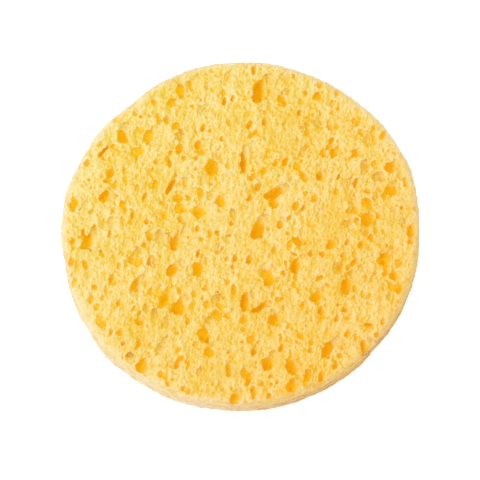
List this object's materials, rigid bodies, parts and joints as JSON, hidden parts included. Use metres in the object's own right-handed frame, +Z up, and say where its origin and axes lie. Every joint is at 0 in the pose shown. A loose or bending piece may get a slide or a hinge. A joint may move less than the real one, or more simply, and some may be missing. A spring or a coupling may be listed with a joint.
{
  "type": "facial cleansing sponge",
  "caption": "Slightly oval disc of open-pored cellulose foam with a die-cut rim, lying flat, for washing the face.",
  "frame": {"origin": "middle of the underside, on the surface that the sponge lies on", "axes": "+Z up through the thickness, +X to the right and +Y away from the viewer of the picture"},
  "size_m": [0.0788, 0.0784, 0.006],
  "materials": {
    "cellulose_foam": "matt open-pored yellow foam, orange inside its pores and paler at the cut rim"
  },
  "bodies": {
    "root": {"sponge_disc": "cellulose_foam"}
  },
  "joints": []
}
